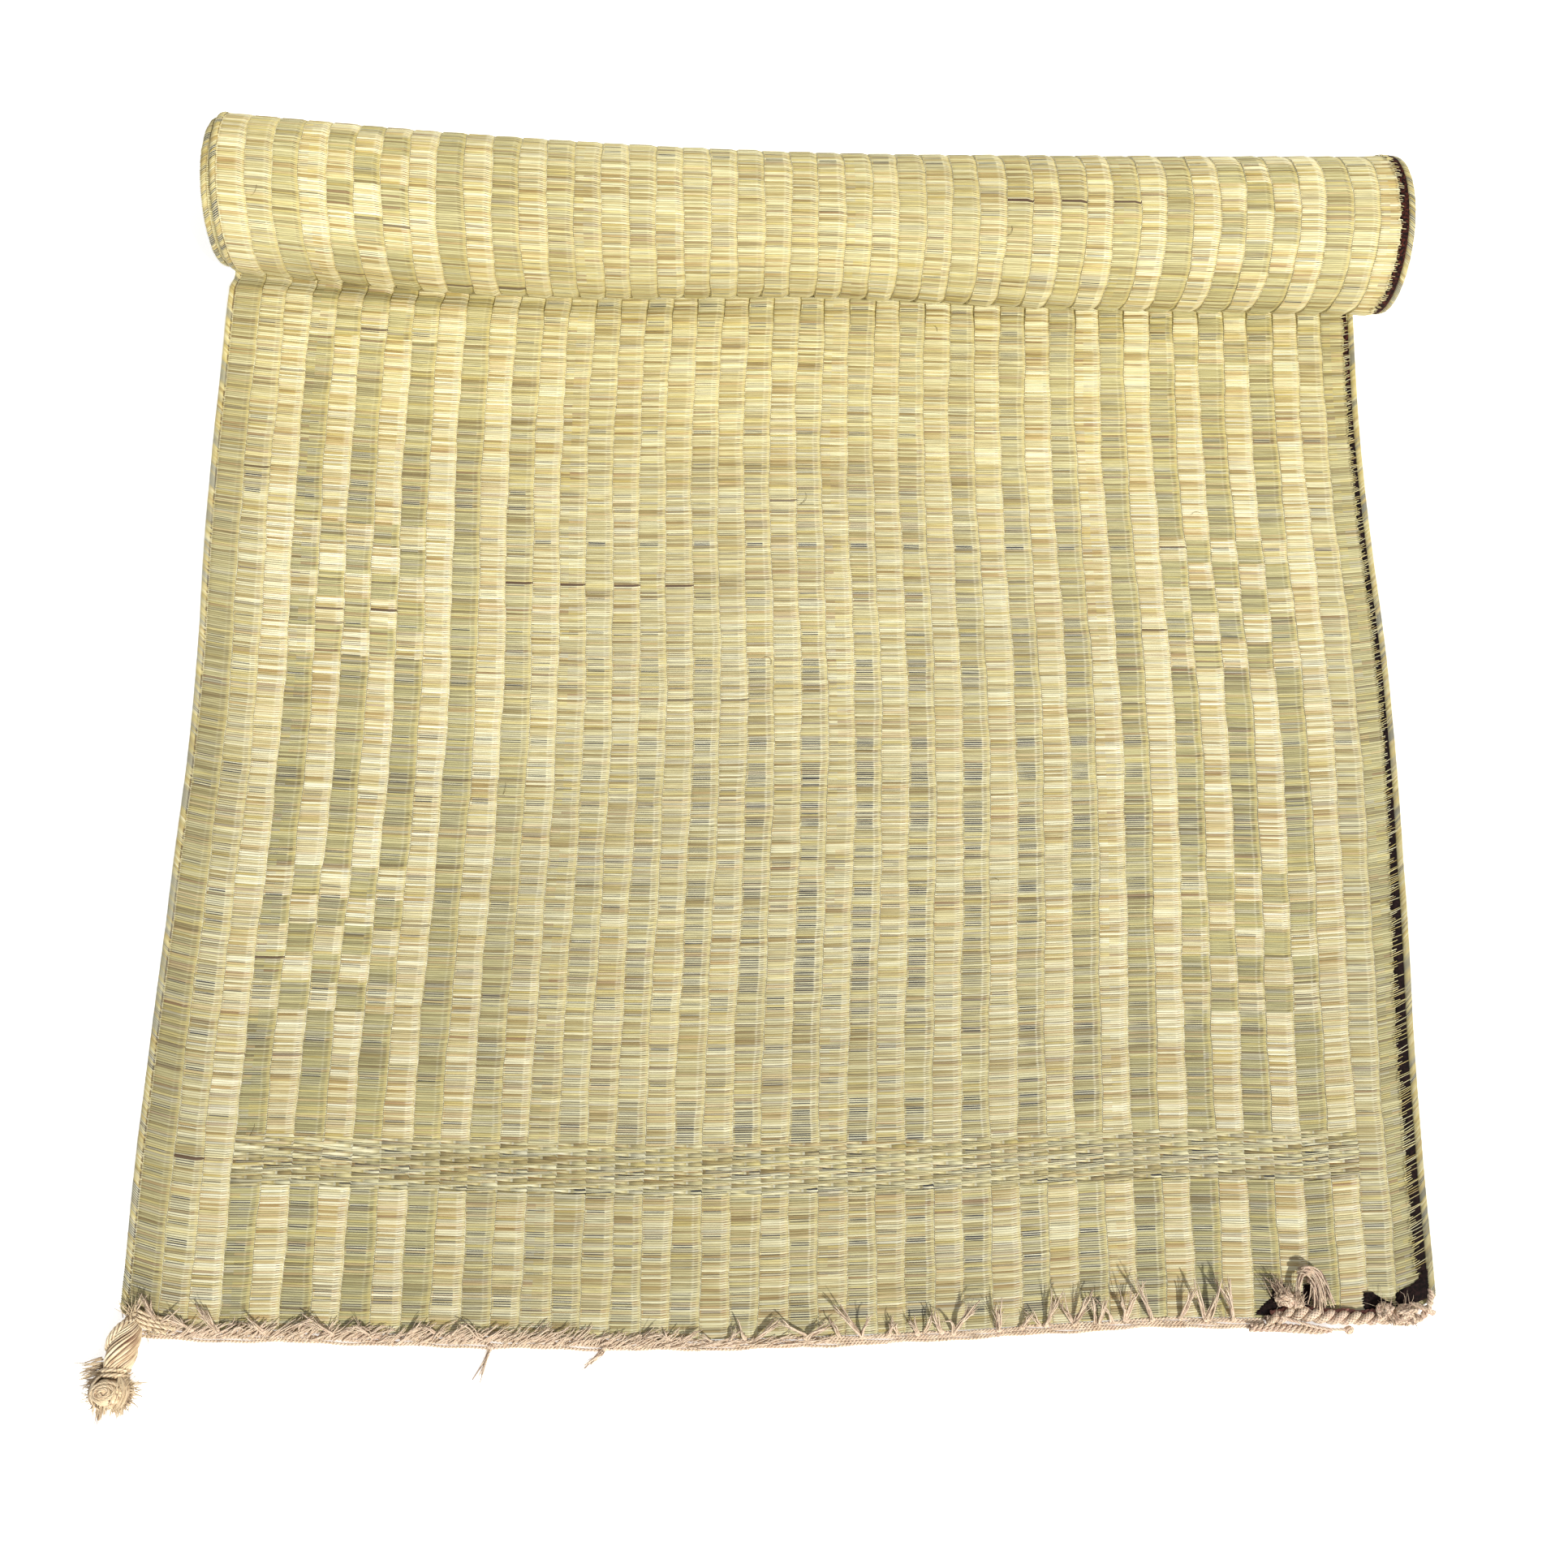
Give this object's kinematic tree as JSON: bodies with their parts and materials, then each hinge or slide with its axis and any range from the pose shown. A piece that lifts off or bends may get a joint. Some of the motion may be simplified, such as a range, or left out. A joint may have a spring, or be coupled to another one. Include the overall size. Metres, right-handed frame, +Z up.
{
  "type": "rolled grass mat",
  "caption": "Woven grass floor mat lying part unrolled, its far half wound into a loose roll, with a corded front edge, a rope corner and a knotted rope end.",
  "frame": {"origin": "on the floor under the middle of the whole mat's box", "axes": "+X along the reeds from the side with the knotted rope end to the side with the corner rope; +Y from the corded front edge to the roll; +Z up"},
  "size_m": [1.2446, 1.2868, 0.1598],
  "materials": {
    "sedge": "dry split sedge woven over jute strings, straw and olive columns",
    "jute_cord": "thin twisted jute cords with frayed ends",
    "jute_rope": "two-ply twisted jute rope with frayed knots",
    "jute_tail": "thick twisted jute rope end with a frayed knot"
  },
  "bodies": {
    "root": {"mat": "sedge", "edge_binding": "jute_cord", "corner_rope": "jute_rope", "corner_tail": "jute_tail"}
  },
  "joints": []
}
